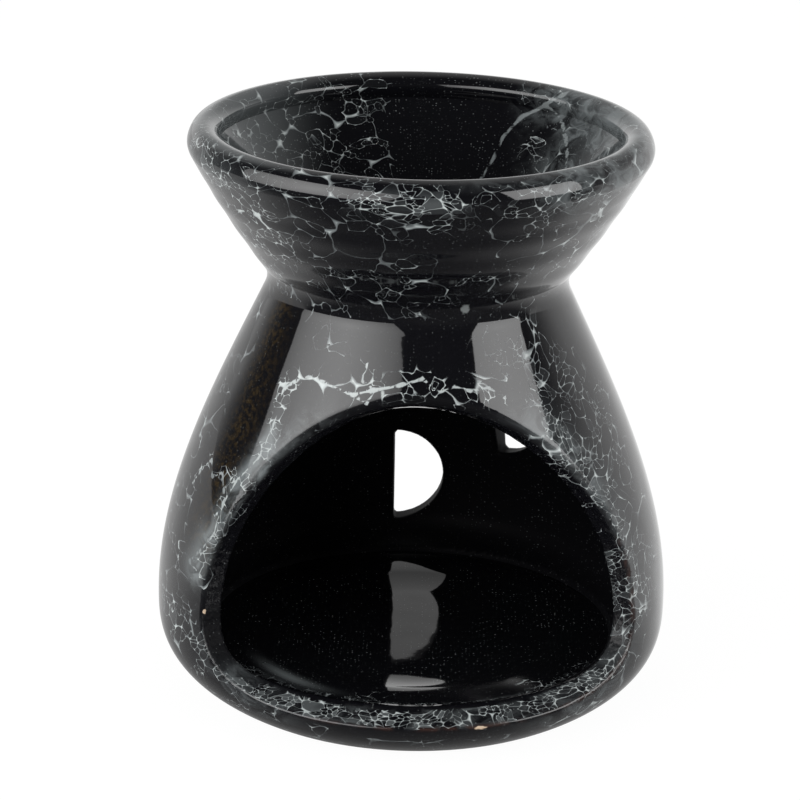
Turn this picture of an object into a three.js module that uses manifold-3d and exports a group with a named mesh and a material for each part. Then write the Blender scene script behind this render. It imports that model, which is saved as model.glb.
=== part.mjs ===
// Essential oil burner: a glazed bell-shaped chamber with an arched doorway, under a flared oil dish.
// Millimetres, +Z up. The origin is the centre of the foot and the doorway looks along -Y.
import * as THREE from 'three';
import { mergeVertices } from 'three/addons/utils/BufferGeometryUtils.js';
import Module from 'manifold-3d';

// Bell of the chamber, from the foot through the belly to the waist
const FOOT_RADIUS = 33.3;
const BELLY_RADIUS = 42.85;
const BELLY_HEIGHT = 15;
const NECK_RADIUS = 24.3; // where the bell would end if the waist had no fillet
const WAIST_RADIUS = 24.8;
const WAIST_HEIGHT = 70.4;
const WAIST_FILLET = 2.2; // height of the fillet on each side of the waist
const WALL = 4;
const FOOT_POWER = 2.9; // how soon the foot turns up into the belly
const BELL_FULLNESS = 1.6; // a larger value draws the bell in sooner

// Oil dish
const RIM_RADIUS = 38.05;
const RIM_HEIGHT = 96.15;
const LIP_RADIUS = 2.85; // half the thickness of the rolled lip
const DISH_WALL = 4;
const DISH_FLOOR = 4.4;
const DISH_BULGE = 0.45; // how far the flared side swells out of a straight cone
const BOWL_FILLET = 7;

// Chamber floor and foot
const SEAT_HEIGHT = 5; // the wall stands on the floor's flange here
const TOE_RADIUS = 33.8; // inner edge of the wall's foot
const TOE_HEIGHT = 7.8;
const COVE = 6; // height of the cove between the toe and the upright wall
const LUTING_GAP = 0.3; // round the edge of the raised floor
const FLOOR_RIM_HEIGHT = 7.5;
const FLOOR_HEIGHT = 6.8;
const CANDLE_FLAT_RADIUS = 24;
const FOOT_RING_WIDTH = 4.6;
const RECESS_DEPTH = 3;

// Doorway, cut square to the wall; its angles are measured round the axis from the front
const DOOR_RIGHT_ANGLE = 58.5;
const DOOR_LEFT_ANGLE = 53;
const DOOR_SILL_HEIGHT = 7.9;
const DOOR_SPRING_HEIGHT = 24;
const DOOR_CROWN_HEIGHT = 58.4;
const DOOR_CORNER_POWER = 3.4; // 2 is an ellipse, and more squares the lower corners
const DOOR_EASE = 0.7; // how far the cut is eased back where it meets each face of the wall

// Half-moon vents through the back, with the straight edge upright
const VENT_RADIUS = 8.8;
const VENTS = [
  { azimuth: 178.4, height: 21 },
  { azimuth: 149.8, height: 35.6 },
];

// Facets
const TURN_STEPS = 72;
const DOOR_STEPS = 90;
const BELL_STEPS = 12;
const CURVE_STEPS = 5;

const glaze = { color: '#1c1e22', roughness: 0.12, metalness: 0 };
const bareClay = { color: '#3a2c26', roughness: 0.6, metalness: 0 };

function bellRadius(height) {
  if (height < BELLY_HEIGHT) {
    const drop = 1 - height / BELLY_HEIGHT;
    return BELLY_RADIUS - (BELLY_RADIUS - FOOT_RADIUS) * drop ** FOOT_POWER;
  }
  const rise = (height - BELLY_HEIGHT) / (WAIST_HEIGHT - BELLY_HEIGHT);
  const draw = BELL_FULLNESS * rise ** 2 + (1 - BELL_FULLNESS) * rise ** 3;
  return BELLY_RADIUS - (BELLY_RADIUS - NECK_RADIUS) * draw;
}

function bellSlope(height) {
  const step = 0.01;
  return (bellRadius(height + step) - bellRadius(height - step)) / (2 * step);
}

// A point of the bell's section, the given depth under its outer face, as (radius, height)
function bellPoint(height, depth = 0) {
  const slope = bellSlope(height);
  const length = Math.hypot(1, slope);
  return new THREE.Vector2(bellRadius(height) - depth / length, height + (depth * slope) / length);
}

function bellCurve(from, to, depth, steps) {
  const points = [];
  for (let i = 0; i <= steps; i += 1) {
    points.push(bellPoint(from + ((to - from) * i) / steps, depth));
  }
  return points;
}

// Turns a section round Z; LatheGeometry turns it round Y
function turned(section, steps = TURN_STEPS) {
  return new THREE.LatheGeometry(section, steps).rotateX(Math.PI / 2);
}

const wasm = await Module();
wasm.setup();

function toSolid(geometry) {
  const bare = geometry.clone();
  bare.deleteAttribute('normal');
  bare.deleteAttribute('uv');
  const merged = mergeVertices(bare, 1e-4);
  const corners = merged.index.array;
  const kept = [];
  for (let i = 0; i < corners.length; i += 3) {
    const [a, b, c] = corners.slice(i, i + 3);
    if (a !== b && b !== c && c !== a) {
      kept.push(a, b, c);
    }
  }
  return new wasm.Manifold(new wasm.Mesh({
    numProp: 3,
    vertProperties: new Float32Array(merged.attributes.position.array),
    triVerts: new Uint32Array(kept),
  }));
}

function toGeometry(solid) {
  const mesh = solid.getMesh();
  const geometry = new THREE.BufferGeometry();
  geometry.setAttribute('position', new THREE.BufferAttribute(mesh.vertProperties, 3));
  geometry.setIndex(new THREE.BufferAttribute(mesh.triVerts, 1));
  geometry.computeVertexNormals();
  return geometry;
}

// The doorway's edge on the outer face, as an angle round the axis and a height
function doorwayEdge(turn, grow) {
  const across = Math.cos(turn);
  const up = Math.sin(turn);
  const power = up > 0 ? 1 : 2 / DOOR_CORNER_POWER;
  const side = THREE.MathUtils.degToRad(across > 0 ? DOOR_RIGHT_ANGLE : DOOR_LEFT_ANGLE);
  const reach = up > 0 ? DOOR_CROWN_HEIGHT - DOOR_SPRING_HEIGHT : DOOR_SPRING_HEIGHT - DOOR_SILL_HEIGHT;
  return {
    angle: Math.sign(across) * Math.abs(across) ** power * (side + grow / BELLY_RADIUS),
    height: DOOR_SPRING_HEIGHT + Math.sign(up) * Math.abs(up) ** power * (reach + grow),
  };
}

// A round plug is turned first. Its height is then read as depth into the wall, and its outline is
// stretched to the doorway's, so that the cut stays square to the wall all the way round.
function doorwayCutter() {
  const plug = 100;
  const beyond = BELLY_RADIUS;
  const section = [
    [0, WALL * 2],
    [plug + DOOR_EASE, WALL * 2],
    [plug + DOOR_EASE, WALL + DOOR_EASE],
    [plug, WALL - DOOR_EASE],
    [plug, DOOR_EASE * 2],
    [plug + DOOR_EASE, -DOOR_EASE / 2],
    [plug + DOOR_EASE, -beyond],
    [0, -beyond * 2],
  ].map(([radius, depth]) => new THREE.Vector2(radius, -depth));
  const cutter = turned(section, DOOR_STEPS);
  const place = cutter.attributes.position;
  for (let i = 0; i < place.count; i += 1) {
    const radius = Math.hypot(place.getX(i), place.getY(i));
    const turn = Math.atan2(place.getY(i), place.getX(i));
    const depth = -place.getZ(i);
    const share = Math.min(1, radius / plug);
    const edge = doorwayEdge(turn, Math.max(0, radius - plug));
    const point = bellPoint(DOOR_SPRING_HEIGHT + (edge.height - DOOR_SPRING_HEIGHT) * share, depth);
    const angle = edge.angle * share;
    place.setXYZ(i, point.x * Math.sin(angle), -point.x * Math.cos(angle), point.y);
  }
  return toSolid(cutter);
}

// A half-moon prism that runs through the wall, lengthwise along the radius at the given azimuth
function ventCutter({ azimuth, height }) {
  const moon = new THREE.Shape();
  moon.absarc(-VENT_RADIUS / 2, 0, VENT_RADIUS, -Math.PI / 2, Math.PI / 2, false);
  moon.closePath();
  const prism = new THREE.ExtrudeGeometry(moon, {
    depth: WALL * 4,
    bevelEnabled: false,
    curveSegments: CURVE_STEPS * 3,
  });
  const turn = THREE.MathUtils.degToRad(azimuth);
  const outward = new THREE.Vector3(Math.sin(turn), -Math.cos(turn), 0);
  const across = new THREE.Vector3(-Math.cos(turn), -Math.sin(turn), 0);
  const up = new THREE.Vector3(0, 0, 1);
  const frame = new THREE.Matrix4().makeBasis(across, up, outward.clone().negate());
  frame.setPosition(outward.multiplyScalar(bellRadius(height) + WALL).setZ(height));
  return toSolid(prism.applyMatrix4(frame));
}

function chamberWallGeometry() {
  const fromWaist = WAIST_HEIGHT - WAIST_FILLET;
  const neck = bellPoint(fromWaist);
  const neckBend = fromWaist + (WAIST_RADIUS - neck.x) / bellSlope(fromWaist);
  const coveTop = bellPoint(TOE_HEIGHT + COVE, WALL);
  const outline = new THREE.Path();
  outline.moveTo(TOE_RADIUS, SEAT_HEIGHT);
  bellCurve(SEAT_HEIGHT, BELLY_HEIGHT, 0, CURVE_STEPS).forEach((p) => outline.lineTo(p.x, p.y));
  bellCurve(BELLY_HEIGHT, fromWaist, 0, BELL_STEPS).slice(1).forEach((p) => outline.lineTo(p.x, p.y));
  outline.quadraticCurveTo(WAIST_RADIUS, neckBend, WAIST_RADIUS, WAIST_HEIGHT);
  outline.lineTo(WAIST_RADIUS - WALL, WAIST_HEIGHT);
  bellCurve(fromWaist, TOE_HEIGHT + COVE, WALL, BELL_STEPS).forEach((p) => outline.lineTo(p.x, p.y));
  outline.quadraticCurveTo(coveTop.x, TOE_HEIGHT, TOE_RADIUS, TOE_HEIGHT);
  outline.lineTo(TOE_RADIUS, SEAT_HEIGHT);
  let wall = toSolid(turned(outline.getPoints(CURVE_STEPS)));
  wall = wall.subtract(doorwayCutter());
  VENTS.forEach((vent) => {
    wall = wall.subtract(ventCutter(vent));
  });
  return toGeometry(wall);
}

function chamberFloorGeometry() {
  const edge = TOE_RADIUS - LUTING_GAP;
  const ringInner = FOOT_RADIUS - FOOT_RING_WIDTH;
  const outline = new THREE.Path();
  outline.moveTo(0, RECESS_DEPTH);
  outline.lineTo(ringInner - RECESS_DEPTH, RECESS_DEPTH);
  outline.quadraticCurveTo(ringInner - RECESS_DEPTH / 3, RECESS_DEPTH, ringInner, 0);
  outline.lineTo(FOOT_RADIUS, 0);
  bellCurve(0, SEAT_HEIGHT, 0, CURVE_STEPS).slice(1).forEach((p) => outline.lineTo(p.x, p.y));
  outline.lineTo(edge, SEAT_HEIGHT);
  outline.lineTo(edge, FLOOR_RIM_HEIGHT - LUTING_GAP);
  outline.lineTo(edge - LUTING_GAP, FLOOR_RIM_HEIGHT);
  const flat = CANDLE_FLAT_RADIUS;
  outline.bezierCurveTo(edge - 3, FLOOR_RIM_HEIGHT, flat + 3, FLOOR_HEIGHT, flat, FLOOR_HEIGHT);
  outline.lineTo(0, FLOOR_HEIGHT);
  return turned(outline.getPoints(CURVE_STEPS));
}

function oilDishGeometry() {
  const lipCentre = new THREE.Vector2(RIM_RADIUS - LIP_RADIUS, RIM_HEIGHT - LIP_RADIUS);
  const fromWaist = WAIST_HEIGHT + WAIST_FILLET;
  // The side leaves the fillet and meets the lip along the same straight flare
  const run = RIM_RADIUS - LIP_RADIUS / 2 - WAIST_RADIUS;
  const climbs = lipCentre.y - WAIST_HEIGHT - WAIST_FILLET / 2;
  const flare = Math.atan2(run, climbs);
  const foot = new THREE.Vector2(WAIST_RADIUS + (WAIST_FILLET / 2) * Math.tan(flare), fromWaist);
  const outward = new THREE.Vector2(Math.cos(flare), -Math.sin(flare));
  const top = lipCentre.clone().addScaledVector(outward, LIP_RADIUS);
  const middle = foot.clone().lerp(top, 0.5).addScaledVector(outward, DISH_BULGE * 2);
  const bowlFloor = WAIST_HEIGHT + DISH_FLOOR;
  const inner = foot.clone().addScaledVector(outward, -DISH_WALL);
  const innerTop = top.clone().addScaledVector(outward, -DISH_WALL);
  const climb = innerTop.clone().sub(inner).normalize();
  const bend = inner.clone().addScaledVector(climb, (bowlFloor - inner.y) / climb.y);
  const bowlSide = bend.clone().addScaledVector(climb, BOWL_FILLET / 2);
  const outline = new THREE.Path();
  outline.moveTo(0, WAIST_HEIGHT);
  outline.lineTo(WAIST_RADIUS, WAIST_HEIGHT);
  outline.quadraticCurveTo(WAIST_RADIUS, WAIST_HEIGHT + WAIST_FILLET / 2, foot.x, foot.y);
  outline.quadraticCurveTo(middle.x, middle.y, top.x, top.y);
  outline.absarc(lipCentre.x, lipCentre.y, LIP_RADIUS, -flare, Math.PI - flare * 2, false);
  outline.lineTo(innerTop.x, innerTop.y);
  outline.lineTo(bowlSide.x, bowlSide.y);
  outline.quadraticCurveTo(bend.x, bend.y, bend.x - BOWL_FILLET, bowlFloor);
  outline.lineTo(0, bowlFloor);
  return turned(outline.getPoints(CURVE_STEPS));
}

function piece(name, geometry, finish) {
  const mesh = new THREE.Mesh(geometry, new THREE.MeshStandardMaterial(finish));
  mesh.name = name;
  return mesh;
}

const burner = new THREE.Group();
burner.add(piece('chamber_floor', chamberFloorGeometry(), bareClay));
burner.add(piece('chamber_wall', chamberWallGeometry(), glaze));
burner.add(piece('oil_dish', oilDishGeometry(), glaze));

export default burner;
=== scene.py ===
"""A glazed ceramic oil burner: a bell-shaped chamber with an arched doorway, under a flared dish."""

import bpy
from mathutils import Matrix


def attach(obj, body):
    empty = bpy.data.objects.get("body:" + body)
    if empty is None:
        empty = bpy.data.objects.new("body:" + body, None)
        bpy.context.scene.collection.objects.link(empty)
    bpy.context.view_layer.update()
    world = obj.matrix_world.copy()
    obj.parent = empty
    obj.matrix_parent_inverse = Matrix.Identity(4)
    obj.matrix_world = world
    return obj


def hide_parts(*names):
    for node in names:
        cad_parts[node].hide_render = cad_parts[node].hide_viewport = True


bl_info = {
    "name": "Marbled oil burner",
    "version": (1, 0, 0),
    "blender": (4, 5, 0),
    "location": "3D View > Sidebar > Burner",
    "description": "Models a marbled ceramic oil burner and the plain stage that it stands on",
    "category": "Add Mesh",
}

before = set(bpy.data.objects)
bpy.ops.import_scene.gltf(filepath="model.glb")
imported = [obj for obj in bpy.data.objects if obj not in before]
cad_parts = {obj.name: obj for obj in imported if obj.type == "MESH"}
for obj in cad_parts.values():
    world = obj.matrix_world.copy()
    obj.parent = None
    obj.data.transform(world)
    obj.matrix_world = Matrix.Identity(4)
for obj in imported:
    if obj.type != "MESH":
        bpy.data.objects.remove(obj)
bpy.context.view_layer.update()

import math
from contextlib import contextmanager
from functools import partial

import bmesh
import bpy
import numpy as np
from bpy.props import FloatProperty, FloatVectorProperty, IntProperty, PointerProperty
from mathutils import Euler, Matrix, Vector

MM = 0.001


class BurnerShape(bpy.types.PropertyGroup):
    """Sizes of the pot, from the foot to the rolled lip."""

    foot_radius: FloatProperty(
        name="Foot radius", description="Outer edge of the foot ring", default=33.3 * MM, unit="LENGTH"
    )
    belly_radius: FloatProperty(
        name="Belly radius", description="Widest radius of the bell", default=42.82 * MM, unit="LENGTH"
    )
    belly_height: FloatProperty(
        name="Belly height", description="Height of the widest line", default=15 * MM, unit="LENGTH"
    )
    neck_radius: FloatProperty(
        name="Neck radius",
        description="Where the bell would end with no fillet",
        default=24.3 * MM,
        unit="LENGTH",
    )
    waist_radius: FloatProperty(
        name="Waist radius", description="Narrowest radius", default=24.8 * MM, unit="LENGTH"
    )
    waist_height: FloatProperty(
        name="Waist height", description="Where the dish meets the bell", default=70.4 * MM, unit="LENGTH"
    )
    rim_radius: FloatProperty(
        name="Rim radius", description="Outer radius of the rolled lip", default=38.02 * MM, unit="LENGTH"
    )
    rim_height: FloatProperty(
        name="Rim height", description="Top of the rolled lip", default=96.12 * MM, unit="LENGTH"
    )
    lip_radius: FloatProperty(
        name="Lip radius", description="Half the thickness of the lip", default=2.85 * MM, unit="LENGTH"
    )
    wall: FloatProperty(
        name="Wall", description="Thickness of the clay", default=4 * MM, unit="LENGTH"
    )
    floor_height: FloatProperty(
        name="Floor height", description="Top of the chamber floor", default=6.8 * MM, unit="LENGTH"
    )
    mesh_size: FloatProperty(
        name="Mesh size",
        description="Grid on which the wall's skin is drawn",
        default=0.625 * MM,
        unit="LENGTH",
    )
    turn_steps: IntProperty(name="Turn steps", description="Facets round the turned pieces", default=256)


class BurnerOpenings(bpy.types.PropertyGroup):
    """The arched doorway and the half-moon vents."""

    sill: FloatProperty(
        name="Sill", description="Lowest line of the doorway", default=7.7 * MM, unit="LENGTH"
    )
    spring: FloatProperty(
        name="Spring", description="Height where the doorway is widest", default=24 * MM, unit="LENGTH"
    )
    crown: FloatProperty(
        name="Crown", description="Top of the arch", default=58.2 * MM, unit="LENGTH"
    )
    right: FloatProperty(
        name="Right jamb", description="Angle from the front", default=math.radians(58.5), subtype="ANGLE"
    )
    left: FloatProperty(
        name="Left jamb", description="Angle from the front", default=math.radians(53), subtype="ANGLE"
    )
    corner_power: FloatProperty(
        name="Corner power", description="2 is round, and more squares the lower corners", default=3.4
    )
    vent_radius: FloatProperty(
        name="Vent radius", description="Radius of each half-moon", default=8.8 * MM, unit="LENGTH"
    )
    low_vent_angle: FloatProperty(
        name="Low vent", description="Angle from the front", default=math.radians(178.4), subtype="ANGLE"
    )
    low_vent_height: FloatProperty(
        name="Low vent height", description="Height of its centre", default=21 * MM, unit="LENGTH"
    )
    high_vent_angle: FloatProperty(
        name="High vent", description="Angle from the front", default=math.radians(149.8), subtype="ANGLE"
    )
    high_vent_height: FloatProperty(
        name="High vent height", description="Height of its centre", default=35.6 * MM, unit="LENGTH"
    )


def glaze_colour(name, description, default):
    """A colour property of the glaze."""
    return FloatVectorProperty(
        name=name, description=description, default=default, size=4, min=0, max=1, subtype="COLOR"
    )


class BurnerGlaze(bpy.types.PropertyGroup):
    """Colours of the marbled glaze and of the clay under it."""

    black: glaze_colour("Black", "Ground of the glaze", (0.0035, 0.0035, 0.0045, 1))
    vein: glaze_colour("Vein", "Thick walls of the bubble net", (0.44, 0.475, 0.47, 1))
    thin: glaze_colour("Thin vein", "Thin walls of the bubble net", (0.12, 0.133, 0.137, 1))
    # This colour also paints the floor's glint, a painted reflection
    veil: glaze_colour("Veil", "Cloudy film between the veins", (0.15, 0.166, 0.170, 1))
    amber: glaze_colour("Amber", "Brown flecks where the glaze is thin", (0.024, 0.016, 0.007, 1))
    worn: glaze_colour("Worn edge", "Clay that shows through along a sharp edge", (0.05, 0.022, 0.016, 1))
    clay: glaze_colour("Clay", "Bare clay of chips and of the standing ring", (0.50, 0.38, 0.27, 1))


def sizes(group):
    """The sizes of a property group as a dict, lengths in millimetres and angles in radians."""
    found = {}
    for name, prop in group.bl_rna.properties.items():
        if prop.type in {"FLOAT", "INT"} and not getattr(prop, "is_array", False):
            value = getattr(group, name)
            found[name] = value / MM if getattr(prop, "unit", "NONE") == "LENGTH" else value
    return found


def bezier(start, bend, end, count):
    """Points of a quadratic curve in the section plane."""
    t = np.linspace(0, 1, count)[:, None]
    return (1 - t) ** 2 * start + 2 * t * (1 - t) * bend + t**2 * end


def softened(values, steps):
    """A row of values with its corners eased over a number of steps to each side."""
    kernel = np.hanning(2 * steps + 3)[1:-1]
    return np.convolve(np.pad(values, steps, mode="edge"), kernel / kernel.sum(), mode="valid")


class Form:
    """Sections and surfaces of the pot in millimetres. The section plane is (radius, height)."""

    # Spacing of the section's points, and the height up to which the wall's faces are worked out
    FINE = 0.05
    TOP = 78.0
    # Shape of the bell: how sharply it draws in to the foot, and how full it stays on its way up
    FOOT_POWER = 2.9
    FULLNESS = 1.6
    # Height of the fillet at the waist
    FILLET = 2.2
    # Foot of the wall's inner face, and the radius of the cove above it
    TOE = 33.8
    TOE_HEIGHT = 7.8
    COVE = 6.0
    # Height at which the wall stands on the floor's flange, and the width of the standing ring
    SEAT = 5.0
    RING_WIDTH = 4.6
    # Radius on which the glaze's flat coordinates are rolled out
    FLAT_RADIUS = 33.0

    def __init__(self, scene):
        self.s = sizes(scene.burner_shape)
        self.o = sizes(scene.burner_openings)
        s = self.s
        self.ring = s["foot_radius"] - self.RING_WIDTH
        heights = np.arange(0, s["waist_height"] - self.FILLET, self.FINE)
        bell = np.stack([self.bell(heights), heights], axis=1)
        neck = bell[-1]
        slope = (bell[-1, 0] - bell[-2, 0]) / self.FINE
        waist = np.array([s["waist_radius"], s["waist_height"]])
        bend = np.array([waist[0], neck[1] + (waist[0] - neck[0]) / slope])
        run = s["rim_radius"] - s["lip_radius"] / 2 - waist[0]
        self.lip = np.array([s["rim_radius"], s["rim_height"]]) - s["lip_radius"]
        self.flare = math.atan2(run, self.lip[1] - waist[1] - self.FILLET / 2)
        half = self.FILLET / 2
        self.dish_foot = waist + np.array([half * math.tan(self.flare), self.FILLET])
        fillet = bezier(waist, waist + np.array([0, half]), self.dish_foot, 60)
        line = np.vstack([bell, bezier(neck, bend, waist, 60)[1:], fillet[1:]])
        climb = np.arange(self.FINE, 6, self.FINE)[:, None]
        line = np.vstack([line, self.dish_foot + np.array([math.tan(self.flare), 1.0]) * climb])
        # The glaze softens the joins of these curves
        self.z = np.arange(0, self.TOP, self.FINE)
        radius = np.interp(self.z, line[:, 1], line[:, 0])
        above_foot = np.clip(self.z / 4, 0, 1)
        self.r = radius * (1 - above_foot) + softened(radius, 10) * above_foot
        self.dr = np.gradient(self.r, self.z)
        # The inner face keeps the wall's thickness, and runs straight up where it meets the dish
        line = self.under(np.arange(2, s["waist_height"] - self.FILLET, self.FINE), s["wall"])
        neck = np.array([[waist[0] - s["wall"], height] for height in (waist[1], self.TOP)])
        line = np.vstack([line, neck])
        self.ri = softened(np.interp(self.z, line[:, 1], line[:, 0]), 20)
        self.dri = np.gradient(self.ri, self.z)

    def bell(self, height):
        """Radius of the bell before any fillet."""
        s = self.s
        drop = np.clip(1 - height / s["belly_height"], 0, 1)
        rise = np.clip((height - s["belly_height"]) / (s["waist_height"] - s["belly_height"]), 0, None)
        draw = self.FULLNESS * rise**2 + (1 - self.FULLNESS) * rise**3
        foot = (s["belly_radius"] - s["foot_radius"]) * drop**self.FOOT_POWER
        return s["belly_radius"] - foot - (s["belly_radius"] - s["neck_radius"]) * draw

    def radius(self, height):
        """Radius of the outer face."""
        return np.interp(height, self.z, self.r)

    def slope(self, height):
        """How fast the outer face's radius grows with height."""
        return np.interp(height, self.z, self.dr)

    def flat(self, angle, height):
        """Coordinates in millimetres of the outer face rolled out flat, from the waist down."""
        length = np.cumsum(np.hypot(1, self.dr)) * self.FINE
        along = np.interp(height, self.z, length) - np.interp(self.s["waist_height"], self.z, length)
        return np.stack([angle * self.FLAT_RADIUS, along], axis=-1)

    def under(self, height, depth):
        """The point of the section that lies the given depth under the outer face."""
        slope = self.slope(height)
        length = np.hypot(1, slope)
        return np.stack([self.radius(height) - depth / length, height + depth * slope / length], axis=-1)

    def doorway(self, angle, height):
        """Distance from the doorway's outline along the outer face, less than zero in the opening."""
        o = self.o
        side = np.where(angle > 0, o["right"], o["left"])
        above = height > o["spring"]
        half = np.where(above, o["crown"] - o["spring"], o["spring"] - o["sill"])
        power = np.where(above, 2.0, o["corner_power"])
        x = np.abs(angle) / side
        y = np.abs(height - o["spring"]) / half
        gauge = np.maximum((x**power + y**power) ** (1 / power), 1e-6)
        gx = (x / gauge) ** (power - 1) / (side * self.radius(height))
        gy = (y / gauge) ** (power - 1) / (half * np.hypot(1, self.slope(height)))
        return (gauge - 1) / np.maximum(np.hypot(gx, gy), 1e-6)

    def wall_place(self, points):
        """Angle from the front, height of the foot of the perpendicular and depth, for each point."""
        radius = np.hypot(points[:, 0], points[:, 1])
        height = points[:, 2].copy()
        square = step(height, 66, 60)
        for _ in range(4):
            height = points[:, 2] - (self.radius(height) - radius) * self.slope(height) * square
        depth = (self.radius(height) - radius) * np.hypot(1, self.slope(height))
        return np.arctan2(points[:, 0], -points[:, 1]), height, depth

    def vents(self):
        """The angle and the height of each half-moon vent."""
        o = self.o
        return [(o[f"{which}_vent_angle"], o[f"{which}_vent_height"]) for which in ("low", "high")]

    def vent(self, points, angle, height):
        """Distance to a half-moon prism along the radius, and far away on the other side of the pot."""
        across = points @ np.array([-math.cos(angle), -math.sin(angle), 0])
        outward = points @ np.array([math.sin(angle), -math.cos(angle), 0])
        up = points[:, 2] - height
        size = self.o["vent_radius"]
        disc = np.hypot(across + size / 2, up) - size
        straight = -across - size / 2
        moon = rounded_both(disc, straight, 0.7)
        return np.where(outward > 0, moon, 50.0)

    def wall_skin(self, points):
        """Signed distance to the chamber wall's glazed skin, less than zero in the clay."""
        angle, height, depth = self.wall_place(points)
        radius = np.hypot(points[:, 0], points[:, 1])
        outer = -depth
        inner = np.interp(points[:, 2], self.z, self.ri) - radius
        inner /= np.hypot(1, np.interp(points[:, 2], self.z, self.dri))
        cove = rounded_either(points[:, 2] - self.TOE_HEIGHT + 0.12, inner, self.COVE)
        toe = self.TOE - radius - 3 * np.clip(points[:, 2] - 11, 0, None)
        inner = rounded_both(cove, toe, 0.1)
        door = self.doorway(angle, height)
        lit = np.clip((height - 30) / 22, 0, 1)
        ease = 0.6 + 1.3 * lit * lit * (3 - 2 * lit)
        skin = np.maximum(rounded_both(outer, -door, ease), rounded_both(inner, -door, 0.55))
        for vent in self.vents():
            skin = rounded_both(skin, -self.vent(points, *vent), 0.6)
        return skin


def rounded_both(a, b, radius):
    """Distance to what lies in both shapes, with the edge where they meet rounded."""
    corner = np.hypot(np.maximum(a + radius, 0), np.maximum(b + radius, 0))
    return np.minimum(np.maximum(a, b), -radius) + corner


def rounded_either(a, b, radius):
    """Distance to what lies in either shape, with a fillet where they meet."""
    corner = np.hypot(np.maximum(radius - a, 0), np.maximum(radius - b, 0))
    return np.maximum(np.minimum(a, b), radius) - corner


def facing(field, points, apart=0.02):
    """Slope of a distance field at each point."""
    slope = np.empty_like(points)
    for axis in range(3):
        nudge = np.zeros(3)
        nudge[axis] = apart
        slope[:, axis] = (field(points + nudge) - field(points - nudge)) / (2 * apart)
    return slope


def settle(field, points, rounds):
    """Draws points on to the skin of a distance field."""
    for _ in range(rounds):
        slope = facing(field, points)
        steep = np.maximum((slope**2).sum(axis=1), 0.2)
        move = np.clip(field(points) / steep, -0.5, 0.5)
        points = points - slope * move[:, None]
    return points


def turned(name, section, steps):
    """Spins a section of (radius, height) points in millimetres round Z into a closed mesh object."""
    bm = bmesh.new()
    verts = [bm.verts.new((r * MM, 0, z * MM)) for r, z in section]
    edges = [bm.edges.new(pair) for pair in zip(verts, verts[1:])]
    if section[0][0] > 0:
        edges.append(bm.edges.new((verts[-1], verts[0])))
    bmesh.ops.spin(
        bm, geom=verts + edges, cent=(0, 0, 0), axis=(0, 0, 1), angle=math.tau, steps=steps, use_merge=True
    )
    bmesh.ops.remove_doubles(bm, verts=bm.verts, dist=1e-7)
    bmesh.ops.recalc_face_normals(bm, faces=bm.faces)
    return to_object(name, bm)


def to_object(name, bm):
    """Makes an object of a bmesh, at the origin."""
    mesh = bpy.data.meshes.new(name)
    bm.to_mesh(mesh)
    bm.free()
    piece = bpy.data.objects.new(name, mesh)
    bpy.context.scene.collection.objects.link(piece)
    return piece


def get_points(mesh):
    """A mesh's vertices as an array in millimetres."""
    flat = np.empty(len(mesh.vertices) * 3, dtype=np.float64)
    mesh.vertices.foreach_get("co", flat)
    return flat.reshape(-1, 3) / MM


def put_points(mesh, points):
    """Moves a mesh's vertices to an array of points in millimetres."""
    mesh.vertices.foreach_set("co", (points * MM).astype(np.float32).ravel())
    mesh.update()


@contextmanager
def edited(mesh):
    """Lends a bmesh of a mesh, and puts back what was made of it."""
    bm = bmesh.new()
    bm.from_mesh(mesh)
    yield bm
    bm.to_mesh(mesh)
    bm.free()


def everything(bm):
    """All that a bmesh holds."""
    return bm.verts[:] + bm.edges[:] + bm.faces[:]


def bake(piece):
    """Replaces a piece's mesh by what its modifiers make of it."""
    graph = bpy.context.evaluated_depsgraph_get()
    mesh = bpy.data.meshes.new_from_object(piece.evaluated_get(graph))
    piece.modifiers.clear()
    piece.data = mesh


def cut(piece, tool):
    """Cuts one object out of another, and throws the tool away."""
    knife = piece.modifiers.new("Cut", "BOOLEAN")
    knife.operation = "DIFFERENCE"
    knife.solver = "EXACT"
    knife.object = tool
    bake(piece)
    bpy.data.objects.remove(tool)


def hump(value, centre, width):
    """A soft rise, 1 at its centre."""
    return np.exp(-(((value - centre) / width) ** 2))


def patch(across, up, centre, size):
    """A soft oval, 1 at its centre."""
    return np.exp(-(((across - centre[0]) / size[0]) ** 2) - ((up - centre[1]) / size[1]) ** 2)


def step(value, low, high):
    """A soft step from 0 at low to 1 at high."""
    share = np.clip((value - low) / (high - low), 0, 1)
    return share * share * (3 - 2 * share)


# Millimetres along the glaze for a degree round the pot
PER_DEGREE = 0.6


def distances(degrees, height, places):
    """Distance to a line drawn over the pot through (degrees, height) places, and to its nearest place."""
    here = np.stack([degrees * PER_DEGREE, height], axis=1)
    path = np.array(places, dtype=float) * [PER_DEGREE, 1.0]
    nearest = np.full(len(here), np.inf)
    for start, end in zip(path, path[1:]):
        run = end - start
        share = np.clip((here - start) @ run / (run @ run), 0, 1)
        nearest = np.minimum(nearest, np.linalg.norm(here - start - share[:, None] * run, axis=1))
    knot = np.min([np.linalg.norm(here - place, axis=1) for place in path], axis=0)
    return nearest, knot


def trail(degrees, height, width, *places):
    """How near each point lies to a drawn line, from 0 to 1."""
    return np.exp(-((distances(degrees, height, places)[0] / width) ** 2))


# What the strand zone holds where no vein is drawn
NO_STRAND = -3


def strands(degrees, height, table):
    """Drawn veins, 1 on their middle and 0 at their edge, with a knot at each place they run through."""
    drawn = []
    for width, *places in table:
        nearest, knot = distances(degrees, height, places)
        drawn.append(1 - nearest / (width * (1 + 1.4 * np.exp(-((knot / 0.7) ** 2)))))
    return np.max(drawn, axis=0)


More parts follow.
